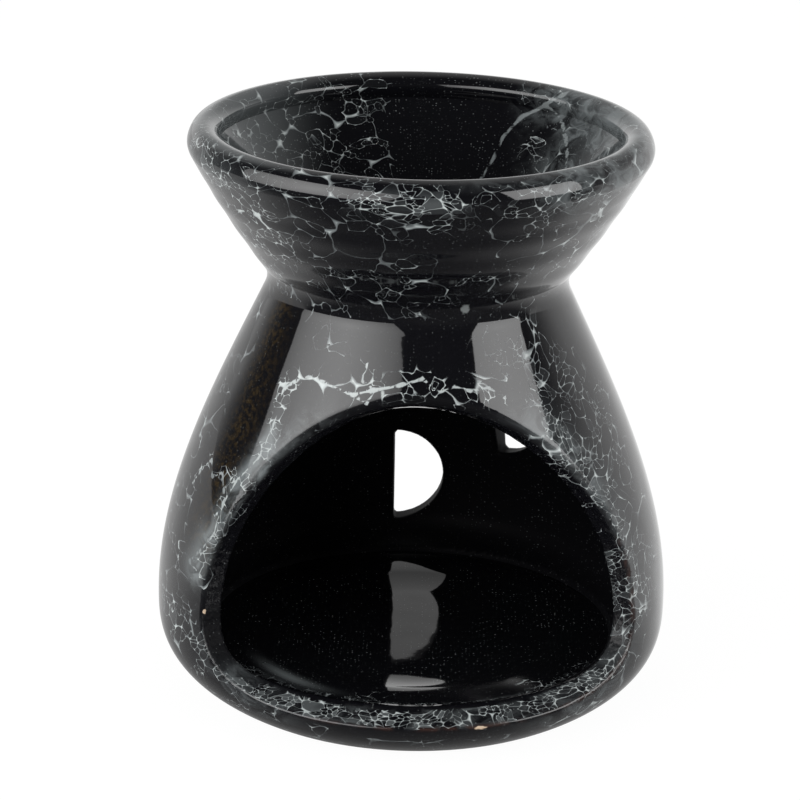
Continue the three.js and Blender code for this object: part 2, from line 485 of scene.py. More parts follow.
# The width of each drawn vein in millimetres, then the (degrees, height) places it runs through
DISH_STRANDS = (
    (0.4, (134, 95.6), (140, 93.2), (148, 90.4), (152, 87), (153, 84), (156, 80), (158, 76)),
    (0.36, (139, 93), (132, 90.6), (128, 88.8), (124, 86.9), (121, 85)),
)
WALL_STRANDS = (
    (0.3, (-44, 57.6), (-41, 59), (-36, 60.3), (-30, 60), (-20, 59), (-13, 60), (-5, 61), (2, 62)),
    (0.25, (-13, 60), (-17.5, 61.2), (-16.5, 63.6)),
    (0.22, (-20, 59), (-15, 57.9), (-13, 60)),
    (0.24, (-44, 57.6), (-43.6, 52), (-45, 47), (-50.5, 42.5), (-53, 38.5)),
    (0.24, (-70, 38), (-68, 40.5), (-64, 43.2), (-61, 41), (-57, 42.5), (-54, 40)),
    (0.24, (-53, 38.5), (-53.5, 33), (-57.5, 29.5), (-61, 27), (-55, 26)),
    (0.22, (2, 62), (7, 60), (12, 60.8), (17, 60), (23, 60.3), (28, 58.4)),
)

# How far each treatment of the glaze holds at a point: the reach, brightness and froth of the bubble net,
# cloudy veil, haze (on the floor a painted glint, a painted reflection), amber flecks, worn and bare clay,
# specks, tool marks, lost gloss and drawn veins
ZONES = (
    "veins",
    "bright",
    "froth",
    "veil",
    "haze",
    "amber",
    "worn",
    "specks",
    "bare",
    "carved",
    "dull",
    "strand",
)


def store(piece, zones, flow):
    """Keeps the zones and the flat coordinates of the glaze as attributes of a piece's points."""
    attributes = piece.data.attributes
    for name in ZONES:
        values = np.clip(zones.get(name, np.zeros(len(flow))), NO_STRAND, 1)
        attributes.new(name, "FLOAT", "POINT").data.foreach_set("value", values.astype(np.float32))
    flat = np.column_stack([flow, np.zeros(len(flow))]).astype(np.float32)
    attributes.new("flow", "FLOAT_VECTOR", "POINT").data.foreach_set("vector", flat.ravel())


def paint_dish(piece, form, section):
    """Glaze of the dish: a net of wide cells outside, large cells and a veil in the bowl."""
    points = get_points(piece.data)
    x, y, z = points.T
    radius = np.hypot(x, y)
    degrees = np.degrees(np.arctan2(x, -y))
    run = np.concatenate([[0], np.cumsum(np.linalg.norm(np.diff(section, axis=0), axis=1))])
    waist = np.array([form.s["waist_radius"], form.s["waist_height"]])
    start = np.argmin(np.abs(section - waist).sum(axis=1))
    along = np.empty(len(points))
    for part in np.array_split(np.arange(len(points)), 24):
        gap = (radius[part, None] - section[:, 0]) ** 2 + (z[part, None] - section[:, 1]) ** 2
        along[part] = run[np.argmin(gap, axis=1)] - run[start]
    flow = np.stack([np.radians(degrees) * form.FLAT_RADIUS, along * 1.25], axis=1)

    wall_line = form.s["waist_radius"] + (z - form.s["waist_height"]) * math.tan(form.flare)
    inside = step(wall_line - radius, 1.2, 3.2)
    outside = 1 - inside
    lip = hump(z, form.s["rim_height"] - 3.5, 3.5)
    line = partial(trail, degrees, z)
    left = line(5.5, (-72, 94), (-57, 91), (-46, 88), (-46, 84), (-58, 78))
    seam = 5 * step(np.abs(degrees), 170, 177)

    zones = {}
    net = 0.50 + 0.45 * left + 0.2 * step(z, 84, 90) - 0.10 * step(80 - z, 0, 5)
    bowl = 0.95 * step(-x, 1, 8) * step(z, 75.5, 78) + 0.55 * step(x, 12, 20) - 0.1
    zones["veins"] = net * outside + bowl * inside - seam
    right = line(1.6, (54, 87), (50, 80), (47, 72))
    front = line(2.2, (-14, 93), (-4, 92.5), (10, 93))
    front_right = line(2.4, (20, 92), (33, 93), (50, 92))
    zones["bright"] = outside * (0.7 * left + 0.7 * right + 0.65 * front + 0.55 * front_right)
    zones["bright"] += inside * (0.25 * step(-x, 1, 8) + 0.3 * step(x, 12, 20))
    zones["bright"] += 0.12
    zones["froth"] = 0.8 * front + 0.45 * front_right + 0.35 * line(2.5, (-72, 94), (-60, 91))
    zones["froth"] += 0.2 * left * outside + 0.05 * inside
    zones["haze"] = inside * (0.5 * step(-x, 14, 31) + 0.4 * step(x, 20, 34)) + 0.12 * lip * left
    haze = (0.9 * inside + 0.8 * lip) * step(x, 14, 26) + 0.4 * lip * hump(degrees, -85, 28)
    on_top = step(lip_turn(form, radius, z), 20, 60)
    haze += 0.6 * lip * step(degrees, 2, 20) * step(150 - degrees, 0, 30) * on_top
    clear = patch(degrees, z, (139, 88), (10, 4)) * inside
    zones["veil"] = haze * step(np.abs(degrees), 178, 160) * (1 - 0.95 * clear)
    zones["specks"] = 0.35 + 0.5 * inside
    zones["strand"] = np.where(inside > 0.5, strands(degrees, z, DISH_STRANDS), NO_STRAND)
    store(piece, zones, flow)


def lip_turn(form, radius, z):
    """Angle round the lip's section, 0 outwards and 90 on top."""
    return np.degrees(np.arctan2(z - form.lip[1], radius - form.lip[0]))


def paint_wall(piece, form):
    """Glaze of the bell: bright veins round the arch, froth on the sill and an amber band at the left."""
    points = get_points(piece.data)
    z = points[:, 2]
    angle, height, depth = form.wall_place(points)
    degrees = np.degrees(angle)
    door = form.doorway(angle, height)
    # The net runs on over the doorway's edge and across the cut, as wet glaze does
    side = form.doorway(angle + 0.01, height) - form.doorway(angle - 0.01, height)
    side = side / (0.02 * form.FLAT_RADIUS)
    up = (form.doorway(angle, height + 0.2) - form.doorway(angle, height - 0.2)) / 0.4
    length = np.maximum(np.hypot(side, up), 1e-6)
    wrap = np.clip(depth, 0, 4.2) * step(door, 8, 3) / length
    flow = form.flat(angle, height) - np.stack([side * wrap, up * wrap], axis=1)

    outside = step(1.2 - depth, 0, 0.6) * step(door, -0.2, 0.5)
    in_cut = step(door, 1.2, 0.3) * step(depth, 0.0, 0.5) * step(4.4 - depth, 0, 0.6)
    seam = 5 * step(np.abs(degrees), 171, 177)
    line = partial(trail, degrees, z)
    crown = line(1.7, (-44, 58), (-41, 59), (-30, 60), (-20, 59), (-13, 60), (-5, 61), (2, 62))
    crown = np.maximum(crown, line(1.3, (-15, 58), (-13, 60), (-16, 61.4), (-17, 63.5)))
    crown = np.maximum(crown, line(1.8, (2, 61.5), (7, 60), (17, 60), (26, 58)))
    left = line(1.9, (-44, 57), (-43, 52), (-45, 45), (-50, 42), (-53, 38), (-53, 32), (-56, 27))
    left_arm = line(1.5, (-70, 38), (-64, 43), (-57, 42.5), (-51, 43))
    left_foot = line(3.4, (-73, 17), (-60, 17), (-51, 16), (-46, 12))
    right = line(3.6, (38, 55), (46, 49), (52, 45), (58, 39), (58, 33), (60, 27), (62, 20))
    shoulder = line(6.5, (42, 67), (52, 60), (56, 55), (62, 50))
    far_right = line(5.0, (68, 44), (68, 34), (70, 24))
    amber = line(4.0, (-60, 67), (-56, 54), (-57, 42), (-57, 32))
    belt = line(2.4, (-66, 15), (-50, 8), (-38, 5), (-20, 4)) * step(outside - 0.5, 0, 0.1)
    belt += 0.8 * line(2.4, (62, 14), (48, 7), (34, 4.5)) + 0.5 * line(1.6, (-4, 3.5), (10, 3.5))
    sill = in_cut * step(13 - z, 0, 3)
    corners = in_cut * (line(2.4, (-49, 9.5), (-46, 8.6)) + line(2.4, (55, 10.5), (50, 8.6)))
    flank = hump(degrees, -80, 16) * step(z, 8, 14)
    back = step(np.abs(degrees), 88, 105)

    zones = {}
    net = 0.16 + 0.95 * crown + 1.0 * left + 0.85 * left_arm + 0.65 * left_foot + 0.95 * right
    net += 0.62 * shoulder + 0.45 * far_right + 0.5 * flank
    net += 0.75 * belt
    net -= 0.75 * amber * (1 - left) * (1 - left_arm)
    net = np.minimum(net, 1) * (1 - back) + 0.56 * back
    cut_net = 0.25 + 0.55 * step(degrees, 20, 45) + 0.45 * step(13 - z, 0, 4)
    zones["veins"] = net * outside + cut_net * in_cut - seam
    arch = crown + 0.8 * left + 0.6 * left_arm + 0.35 * left_foot + 0.5 * right + 0.2 * shoulder
    zones["bright"] = outside * arch
    zones["bright"] += 0.5 * outside * belt
    zones["bright"] += in_cut * (0.6 * step(13 - z, 0, 4) + 0.45 * step(degrees, 30, 50))
    zones["bright"] += 0.3 * back + 0.08
    zones["bright"] += 0.5 * corners
    frothy = 0.45 * right + 0.35 * left + 0.25 * shoulder + 0.4 * left_foot
    zones["froth"] = 0.85 * sill + outside * frothy
    zones["froth"] += 0.6 * in_cut * hump(degrees, 57, 8) * step(40 - z, 0, 12)
    near_arch = outside * hump(door, 2.0, 2.6)
    zones["veil"] = near_arch * (0.9 * hump(degrees, 45, 12) + 0.6 * hump(degrees, -40, 12))
    zones["veil"] += 0.3 * sill + 0.9 * corners
    zones["veil"] += outside * line(2.0, (-44, 48), (-46, 44), (-51, 40), (-54, 31), (-57, 26))
    zones["veil"] += 0.35 * outside * hump(degrees, 78, 10) * step(45 - z, 0, 20)
    zones["haze"] = 0.3 * corners + 0.12 * outside * right
    smear = line(1.3, (-43.5, 51), (-45, 47), (-50, 42))
    smear = np.maximum(smear, 0.6 * line(2.2, (-57, 32), (-60, 27)))
    zones["haze"] += 0.85 * outside * smear
    zones["carved"] = in_cut * step(np.abs(degrees), 36, 42) * step(z, 7.8, 9)
    # The gloss is thin on the inner face, the vents' cheeks, the arch's edge and the foot of the jambs
    cheek = np.min([np.abs(form.vent(points, *vent)) for vent in form.vents()], axis=0)
    zones["dull"] = step(depth, 3.2, 3.9) * step(door, 0.5, 1.5)
    zones["dull"] += step(0.5 - cheek, 0, 0.3) * step(depth, 0.3, 0.8)
    zones["dull"] += 0.8 * step(1.6 - np.abs(door) - np.abs(depth), 0, 0.6) * step(z, 40, 46)
    zones["dull"] += in_cut * step(22 - z, 0, 3) * (step(-degrees, 38, 44) + 0.6 * step(degrees, 48, 54))
    zones["strand"] = np.where(outside > 0.5, strands(degrees, z, WALL_STRANDS), NO_STRAND)
    zones["amber"] = outside * amber
    worn = step(12 - z, 0, 3) * step(degrees, -30, -8) + step(degrees, 45, 54) * step(40 - z, 0, 12)
    zones["worn"] = step(door + np.abs(depth), 0.6, 0.1) * worn
    zones["specks"] = 0.3 + 0.5 * (1 - outside)
    store(piece, zones, flow)


def paint_floor(piece, form):
    """Glaze of the floor and the foot, bare where it stands, with a painted glint on the floor's front
    left.
    """
    points = get_points(piece.data)
    x, y, z = points.T
    radius = np.hypot(x, y)
    angle = np.arctan2(x, -y)
    degrees = np.degrees(angle)
    rim = step(radius, 32, 33) * step(5.3 - z, 0, 0.3)
    flow = np.where(rim[:, None] > 0.5, form.flat(angle, z), points[:, :2] + 200)
    zones = {}
    loops = patch(x, y, (21, -23), (5, 2.4)) + patch(x, y, (-5.6, -28.5), (3, 1.8))
    seam = 5 * step(np.abs(degrees), 171, 177)
    zones["veins"] = (0.9 * loops - 0.1) * (1 - rim) + (0.42 - seam) * rim
    zones["bright"] = 0.7 * loops + 0.25 * rim * hump(degrees, -50, 30)
    edge = step(radius, 30.5, 32.5) * (1 - rim) * step(-y, 10, 20)
    zones["froth"] = 0.8 * edge
    zones["veins"] += 0.8 * edge
    zones["specks"] = 0.3 + 0.7 * (1 - rim)
    # A pale arc on the floor's front left is a painted glint, a painted reflection, held in the haze zone
    # and drawn in the veil's colour
    painted_glint_radius = radius - 0.03 * (degrees + 43)
    zones["haze"] = patch(degrees, painted_glint_radius, (-43, 29.8), (13, 1.1)) * (1 - rim)
    zones["strand"] = np.full(len(x), NO_STRAND)
    zones["dull"] = patch(x, y, (15, -27), (7, 4)) * (1 - rim)
    zones["bare"] = step(0.35 - z, 0, 0.15) * step(radius, form.ring - 0.6, form.ring)
    store(piece, zones, flow)


def node(tree, kind, inputs=None, **settings):
    """Adds a shader node, with values or links for its inputs."""
    made = tree.nodes.new(kind)
    for name, value in settings.items():
        setattr(made, name, value)
    for key, value in (inputs or {}).items():
        if isinstance(value, bpy.types.NodeSocket):
            tree.links.new(value, made.inputs[key])
        else:
            made.inputs[key].default_value = value
    return made


def calc(tree, operation, first, second=0.0, clamp=False):
    """A Math node's result."""
    inputs = {0: first, 1: second}
    return node(tree, "ShaderNodeMath", inputs, operation=operation, use_clamp=clamp).outputs[0]


def fade(tree, value, low, high, start=0.0, end=1.0):
    """A soft step of a value from start at low to end at high."""
    inputs = {"Value": value, "From Min": low, "From Max": high, "To Min": start, "To Max": end}
    return node(tree, "ShaderNodeMapRange", inputs, interpolation_type="SMOOTHSTEP").outputs["Result"]


def blend(tree, share, first, second):
    """A mix of two colours."""
    inputs = {0: share, 6: first, 7: second}
    return node(tree, "ShaderNodeMix", inputs, data_type="RGBA").outputs[2]


def mix(tree, share, first, second):
    """A mix of two numbers."""
    return node(tree, "ShaderNodeMix", {0: share, 2: first, 3: second}, data_type="FLOAT").outputs[0]


def noise(tree, place, size, detail=1.0, roughness=0.5, dimensions="3D"):
    """Noise with features of about the given size in millimetres."""
    inputs = {"Vector": place, "Scale": 1 / size, "Detail": detail, "Roughness": roughness}
    return node(tree, "ShaderNodeTexNoise", inputs, noise_dimensions=dimensions)


def shift(tree, place, size, amount):
    """Moves a pattern's coordinates about, so that straight walls bow."""
    colour = noise(tree, place, size, dimensions="2D").outputs["Color"]
    centred = {0: colour, 1: (0.5, 0.5, 0.5)}
    centred = node(tree, "ShaderNodeVectorMath", centred, operation="SUBTRACT").outputs[0]
    scaled = {0: centred, "Scale": amount}
    scaled = node(tree, "ShaderNodeVectorMath", scaled, operation="SCALE").outputs[0]
    return node(tree, "ShaderNodeVectorMath", {0: place, 1: scaled}, operation="ADD").outputs[0]


def bubbles(tree, place, size, feature="F1"):
    """Flat bubbles of a size in millimetres."""
    inputs = {"Vector": place, "Scale": 1 / size, "Randomness": 1.0}
    if feature == "SMOOTH_F1":
        inputs["Smoothness"] = 0.8
    return node(tree, "ShaderNodeTexVoronoi", inputs, feature=feature, voronoi_dimensions="2D").outputs


def foam(tree, place, size, swell, thin, thick, full):
    """Walls of round-cornered bubbles, thin to thick by swell, with their knots, centres and luck."""
    bubble = bubbles(tree, place, size)
    merged = bubbles(tree, place, size, "SMOOTH_F1")["Distance"]
    walls = calc(tree, "MULTIPLY", calc(tree, "SUBTRACT", bubble["Distance"], merged), 2.5)
    low = fade(tree, swell, 0.38, 0.72, thin, thick)
    inputs = {"Value": walls, "From Min": low, "From Max": full}
    lines = node(tree, "ShaderNodeMapRange", inputs, interpolation_type="SMOOTHSTEP").outputs["Result"]
    luck = node(tree, "ShaderNodeSeparateColor", {"Color": bubble["Color"]}).outputs["Blue"]
    return lines, fade(tree, walls, 0.25, 0.40), bubble["Position"], luck


def zone(tree, name):
    """A zone that is kept on the piece's points."""
    return node(tree, "ShaderNodeAttribute", attribute_name=name).outputs["Fac"]


def covered(tree, centre):
    """Whether a bubble is drawn, decided for the whole bubble at its centre."""
    patches = noise(tree, centre, 13.0, 2.0, 0.55, "2D").outputs["Fac"]
    return total(tree, zone(tree, "veins"), calc(tree, "SUBTRACT", patches, 0.5), 1.5)


def total(tree, first, second, share):
    """The first number plus a share of the second."""
    inputs = {0: second, 1: share, 2: first}
    return node(tree, "ShaderNodeMath", inputs, operation="MULTIPLY_ADD").outputs[0]


def spot(tree, flow, place, size, angle=0.0):
    """A small ragged oval on the glaze."""
    ragged = shift(tree, flow, 0.9, 0.7)
    inputs = {"Vector": ragged, "Location": (*place, 0), "Rotation": (0, 0, angle), "Scale": (*size, 1)}
    local = node(tree, "ShaderNodeMapping", inputs, vector_type="TEXTURE").outputs[0]
    far = node(tree, "ShaderNodeVectorMath", {0: local}, operation="LENGTH").outputs["Value"]
    return fade(tree, far, 1.0, 0.55)


# Size of the large bubbles in millimetres, and how high their walls lie where thin, thick and full
LARGE_BUBBLES = 6.2
LARGE_WALLS = (0.234, 0.18, 0.26)
# The same for each smaller size, with how rarely it shows and how near to a large bubble's wall it keeps
SMALL_BUBBLES = (
    (2.7, 0.43, 1.2, (0.222, 0.15, 0.26)),
    (1.3, 0.51, 2.0, (0.19, 0.09, 0.25)),
    (0.8, 0.80, 2.0, (0.17, 0.08, 0.25)),
)


def bubble_net(tree, place, flow, bright, froth):
    """Walls and knots of the bubble net, and how much of them shows."""
    bowed = shift(tree, shift(tree, flow, 9.0, 4.0), 2.6, 0.8)
    swell = total(tree, noise(tree, place, 4.0, 2.0).outputs["Fac"], bright, 0.2)
    net, knots, centre, _ = foam(tree, bowed, LARGE_BUBBLES, swell, *LARGE_WALLS)
    cover = covered(tree, centre)
    # Each size of bubble crowds along the walls of the large ones, and takes their place there
    for size, rare, near, walls in SMALL_BUBBLES:
        lines, small_knots, centre, luck = foam(tree, bowed, size, swell, *walls)
        wall = bubbles(tree, centre, LARGE_BUBBLES, "DISTANCE_TO_EDGE")["Distance"]
        score = noise(tree, centre, 2.8 * size, dimensions="2D").outputs["Fac"]
        score = total(tree, total(tree, score, wall, -near), froth, 0.6)
        there = fade(tree, score, rare, rare + 0.015)
        filled = calc(tree, "MULTIPLY", fade(tree, luck, 0.66, 0.80), froth)
        lines = total(tree, lines, filled, 0.45)
        net = mix(tree, there, net, lines)
        knots = mix(tree, there, knots, small_knots)
        cover = mix(tree, there, cover, covered(tree, centre))
    return net, knots, fade(tree, cover, 0.34, 0.50)


def dust(tree, place, flow):
    """Dust of pale specks, which lies in drifts."""
    grit = bubbles(tree, flow, 0.62)
    chance = node(tree, "ShaderNodeSeparateColor", {"Color": grit["Color"]}).outputs
    speck = fade(tree, grit["Distance"], calc(tree, "MULTIPLY", chance["Green"], 0.32), 0.0)
    speck = calc(tree, "MULTIPLY", speck, fade(tree, chance["Red"], 0.45, 1.0))
    drifts = fade(tree, noise(tree, place, 7.0, 2.0).outputs["Fac"], 0.35, 0.65, 0.3, 1.0)
    return calc(tree, "MULTIPLY", calc(tree, "MULTIPLY", speck, drifts), zone(tree, "specks"))


def marbled_glaze(name, colours, chips=(), drops=()):
    """Black glaze with a net of pale bubble walls, clouded and worn in places, and with a painted glint
    where a piece's haze zone holds one.
    """
    material = bpy.data.materials.new(name)
    material.use_nodes = True
    tree = material.node_tree
    shader = tree.nodes["Principled BSDF"]
    place = node(tree, "ShaderNodeTexCoord").outputs["Object"]
    place = node(tree, "ShaderNodeMapping", {"Vector": place, "Scale": (1 / MM,) * 3}).outputs[0]
    flow = node(tree, "ShaderNodeAttribute", attribute_name="flow").outputs["Vector"]
    bright = zone(tree, "bright")
    broken = noise(tree, place, 3.4).outputs["Fac"]

    # The net pales where the glaze is weak, and the drawn veins lie over it
    net, knots, cover = bubble_net(tree, place, flow, bright, zone(tree, "froth"))
    weak = fade(tree, total(tree, broken, bright, 0.2), 0.36, 0.6, 0.45, 1.0)
    level = calc(tree, "MULTIPLY", cover, weak)
    net = calc(tree, "MULTIPLY", net, level, clamp=True)
    knots = calc(tree, "MULTIPLY", knots, level)
    ragged = calc(tree, "SUBTRACT", noise(tree, place, 1.5, 2.0).outputs["Fac"], 0.5)
    drawn = fade(tree, total(tree, zone(tree, "strand"), ragged, 0.8), 0.1, 0.6)
    net = calc(tree, "MAXIMUM", net, drawn)

    cloud_and_painted_glint = noise(tree, shift(tree, flow, 5.0, 7.0), 5.0, 5.0, 0.62, "2D").outputs["Fac"]
    cloud_and_painted_glint = calc(tree, "MULTIPLY", fade(tree, cloud_and_painted_glint, 0.36, 0.72), zone(tree, "veil"))
    # The haze zone adds to the cloud; on the floor it is a painted glint, a painted reflection
    cloud_and_painted_glint = calc(tree, "ADD", cloud_and_painted_glint, zone(tree, "haze"), clamp=True)
    fleck = noise(tree, place, 1.0, 3.0, 0.7).outputs["Fac"]
    amber = calc(tree, "MULTIPLY", fade(tree, fleck, 0.42, 0.66), zone(tree, "amber"))
    worn = calc(tree, "MULTIPLY", zone(tree, "worn"), fade(tree, broken, 0.36, 0.55))

    # Colour, from the black ground up
    colour = blend(tree, amber, tuple(colours.black), tuple(colours.amber))
    colour = blend(tree, calc(tree, "MULTIPLY", cloud_and_painted_glint, 0.8), colour, tuple(colours.veil))
    shine = total(tree, calc(tree, "MULTIPLY", knots, 0.7), calc(tree, "MULTIPLY", net, bright), 0.75)
    wall_colour = blend(tree, fade(tree, shine, 0.0, 1.15), tuple(colours.thin), tuple(colours.vein))
    colour = blend(tree, net, colour, wall_colour)
    speck = calc(tree, "MULTIPLY", dust(tree, place, flow), 0.42)
    colour = blend(tree, speck, colour, tuple(colours.vein))
    for drop in drops:
        shade = calc(tree, "MULTIPLY", spot(tree, flow, *drop), 0.3)
        colour = blend(tree, shade, colour, tuple(colours.vein))
    colour = blend(tree, worn, colour, tuple(colours.worn))
    bare = zone(tree, "bare")
    for chip in chips:
        bare = calc(tree, "MAXIMUM", bare, spot(tree, flow, *chip))
    colour = blend(tree, bare, colour, tuple(colours.clay))
    tree.links.new(colour, shader.inputs["Base Color"])

    # Gloss, lost on worn and bare clay and in the dull zones
    dull = zone(tree, "dull")
    rough = fade(tree, net, 0.0, 1.0, 0.045, 0.16)
    rough = total(tree, total(tree, total(tree, rough, worn, 0.3), bare, 0.6), dull, 0.5)
    tree.links.new(rough, shader.inputs["Roughness"])
    shader.inputs["IOR"].default_value = 1.52
    tree.links.new(fade(tree, dull, 0.0, 1.0, 0.5, 0.07), shader.inputs["Specular IOR Level"])

    # Relief: a slow drift, pits, raised bubble walls, sunk chips and tool marks
    drift = noise(tree, place, 11.0).outputs["Fac"]
    pits = noise(tree, place, 2.6, 2.0).outputs["Fac"]
    relief = total(tree, calc(tree, "MULTIPLY", drift, 0.55), pits, 0.035)
    relief = total(tree, total(tree, relief, net, 0.02), bare, -0.15)
    tool_marks = noise(tree, place, 1.6, 2.0).outputs["Fac"]
    relief = total(tree, relief, calc(tree, "MULTIPLY", tool_marks, zone(tree, "carved")), 1.5)
    bump = node(tree, "ShaderNodeBump", {"Height": relief, "Strength": 0.6, "Distance": 0.35 * MM})
    tree.links.new(bump.outputs["Normal"], shader.inputs["Normal"])
    return material


def dress(piece, material, node_name):
    """Gives a piece its material and sets it in the place of its CAD node."""
    piece.data.materials.clear()
    piece.data.materials.append(material)
    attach(piece, "root")
    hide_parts(node_name)


class BURNER_OT_chamber_floor(bpy.types.Operator):
    """Turn the foot and the raised floor that the tea light stands on."""

    bl_idname = "burner.chamber_floor"
    bl_label = "Chamber floor"

    # Height of the recess under the foot
    RECESS = 3.0

    def execute(self, context):
        form = Form(context.scene)
        s = form.s
        ring = form.ring
        recess = np.array([[r, self.RECESS] for r in (0, 6, 12, 18, ring - 3.5)])
        brow = np.array([[ring - 3, self.RECESS], [ring - 1, self.RECESS], [ring, 0.35]])
        rise = bezier(*brow, 9)
        stand = np.array([[ring + 0.35, 0.0], [ring + 2.3, 0.0], [s["foot_radius"] - 0.25, 0.0]])
        heights = np.concatenate([np.linspace(0.12, form.SEAT - 0.1, 24), [form.SEAT]])
        side = np.stack([form.radius(heights), heights], axis=1)
        toe = form.TOE_HEIGHT
        plug = np.array([[form.TOE, form.SEAT], [form.TOE, toe - 0.6], [form.TOE + 1.3, toe - 0.35]])
        # Level in the middle, with a hollow rise towards the wall
        level = s["floor_height"]
        brink = np.array([24.8, level + 0.62])
        shelf = bezier(np.array([35.3, toe - 0.05]), np.array([26.6, level + 0.94]), brink, 20)
        hollow = bezier(brink, np.array([21.4, level]), np.array([17.6, level]), 24)[1:]
        middle = np.array([[r, level] for r in (16, 14, 11, 8, 5, 2.5, 0)])
        section = np.vstack([recess, rise, stand, side, plug, shelf, hollow, middle])
        piece = turned("chamber_floor_glazed", section.tolist(), s["turn_steps"])
        piece.data.shade_smooth()
        piece.data.set_sharp_from_angle(angle=math.radians(38))
        paint_floor(piece, form)
        glaze = marbled_glaze("Foot and floor glaze", context.scene.burner_glaze)
        dress(piece, glaze, "chamber_floor")
        return {"FINISHED"}


class BURNER_OT_chamber_wall(bpy.types.Operator):
    """Turn the bell, cut the doorway and the vents, and let the glaze soften every edge."""

    bl_idname = "burner.chamber_wall"
    bl_label = "Chamber wall"

    # The turned blank runs past both of its ends, which are trimmed last
    BLANK_FOOT = 1.5
    BLANK_TOP = 74.5
    # How far the doorway's plug stands out of the bell, and how far it goes in
    PLUG_OUT = 8
    PLUG_IN = -30

    def execute(self, context):
        form = Form(context.scene)
        s = form.s
        heights = np.linspace(self.BLANK_FOOT, self.BLANK_TOP, 74)
        outer = np.stack([form.radius(heights), heights], axis=1)
        heights = np.linspace(s["waist_height"] - form.FILLET, form.TOE_HEIGHT + form.COVE, 40)
        inner = form.under(heights, s["wall"])
        bore = s["waist_radius"] - s["wall"]
        neck = np.array([[bore, self.BLANK_TOP], [bore, s["waist_height"]]])
        corner = np.array([inner[-1, 0], form.TOE_HEIGHT])
        cove = bezier(inner[-1], corner, np.array([form.TOE, form.TOE_HEIGHT]), 8)
        toe = np.array([[form.TOE, self.BLANK_FOOT]])
        section = np.vstack([outer, neck, inner, cove[1:], toe])
        wall = turned("chamber_wall_glazed", section.tolist(), 180)
        cut(wall, self.doorway_tool(form))
        for vent in form.vents():
            cut(wall, self.vent_tool(form, *vent))
        skin = wall.modifiers.new("Skin", "REMESH")
        skin.mode = "VOXEL"
        skin.voxel_size = s["mesh_size"] * MM
        ease = wall.modifiers.new("Ease", "SMOOTH")
        ease.factor = 0.5
        ease.iterations = 4
        bake(wall)
        self.draw_to_skin(wall, form)
        self.trim(wall, form)
        wall.data.shade_smooth()
        normals = facing(form.wall_skin, get_points(wall.data))
        normals /= np.linalg.norm(normals, axis=1)[:, None]
        wall.data.normals_split_custom_set_from_vertices(normals.tolist())
        paint_wall(wall, form)
        chips = [
            (tuple(form.flat(math.radians(degrees), height)), size)
            for degrees, height, size in ((16, 7.5, (1.0, 0.5)), (-52, 20.4, (0.4, 0.4)))
        ]
        glaze = marbled_glaze("Chamber glaze", context.scene.burner_glaze, chips)
        dress(wall, glaze, "chamber_wall")
        return {"FINISHED"}

    def doorway_tool(self, form):
        """A round plug whose height is read as depth and whose outline is stretched to the doorway's."""
        section = [(share, self.PLUG_OUT) for share in (0, 0.3, 0.6, 0.85)]
        section += [(1, depth) for depth in (self.PLUG_OUT, 4, 0, -6, self.PLUG_IN)]
        section += [(share, self.PLUG_IN) for share in (0.6, 0)]
        tool = turned("Doorway tool", section, 120)
        o = form.o
        points = get_points(tool.data)
        share = np.hypot(points[:, 0], points[:, 1])
        turn = np.arctan2(points[:, 1], points[:, 0])
        across = np.cos(turn)
        up = np.sin(turn)
        power = np.where(up > 0, 1.0, 2 / o["corner_power"])
        side = np.where(across > 0, o["right"], o["left"])
        half = np.where(up > 0, o["crown"] - o["spring"], o["spring"] - o["sill"])
        angle = np.sign(across) * np.abs(across) ** power * side * share
        height = o["spring"] + np.sign(up) * np.abs(up) ** power * half * share
        radius, height = form.under(height, points[:, 2]).T
        put_points(tool.data, np.stack([radius * np.sin(angle), -radius * np.cos(angle), height], axis=1))
        with edited(tool.data) as bm:
            bmesh.ops.recalc_face_normals(bm, faces=bm.faces)
        return tool

    def vent_tool(self, form, angle, height):
        """A half-moon prism along the radius."""
        size = form.o["vent_radius"]
        bm = bmesh.new()
        bmesh.ops.create_circle(bm, cap_ends=True, segments=72, radius=size * MM)
        bmesh.ops.bisect_plane(
            bm, geom=everything(bm), plane_co=(0, 0, 0), plane_no=(-1, 0, 0), clear_outer=True
        )
        bmesh.ops.translate(bm, verts=bm.verts, vec=(-size / 2 * MM, 0, 0))
        made = bmesh.ops.extrude_face_region(bm, geom=bm.faces[:])
        moved = [part for part in made["geom"] if isinstance(part, bmesh.types.BMVert)]
        bmesh.ops.translate(bm, verts=moved, vec=(0, 0, 16 * MM))
        outward = Vector((math.sin(angle), -math.cos(angle), 0))
        across = Vector((-math.cos(angle), -math.sin(angle), 0))
        place = Matrix((across, Vector((0, 0, 1)), outward)).transposed().to_4x4()
        place.translation = outward * (form.radius(height) - 10) * MM + Vector((0, 0, height * MM))
        bmesh.ops.transform(bm, matrix=place, verts=bm.verts)
        bmesh.ops.recalc_face_normals(bm, faces=bm.faces)
        return to_object("Vent tool", bm)

    def draw_to_skin(self, wall, form):
        """Draws the remeshed wall on to its exact skin, and evens its mesh out on the way."""
        axes = {f"use_axis_{axis}": True for axis in "xyz"}
        for _ in range(2):
            put_points(wall.data, settle(form.wall_skin, get_points(wall.data), 2))
            with edited(wall.data) as bm:
                bmesh.ops.smooth_vert(bm, verts=bm.verts, factor=0.5, **axes)
        put_points(wall.data, settle(form.wall_skin, get_points(wall.data), 3))

    def trim(self, wall, form):
        """Cuts the wall level where it stands on the floor's flange and where it meets the dish."""
        with edited(wall.data) as bm:
            for height, side in ((form.s["waist_height"], 1), (form.SEAT, -1)):
                plane = {"plane_co": (0, 0, height * MM), "plane_no": (0, 0, side)}
                made = bmesh.ops.bisect_plane(bm, geom=everything(bm), clear_outer=True, **plane)
                rings = [part for part in made["geom_cut"] if isinstance(part, bmesh.types.BMEdge)]
                bmesh.ops.bridge_loops(bm, edges=rings)
            bmesh.ops.recalc_face_normals(bm, faces=bm.faces)


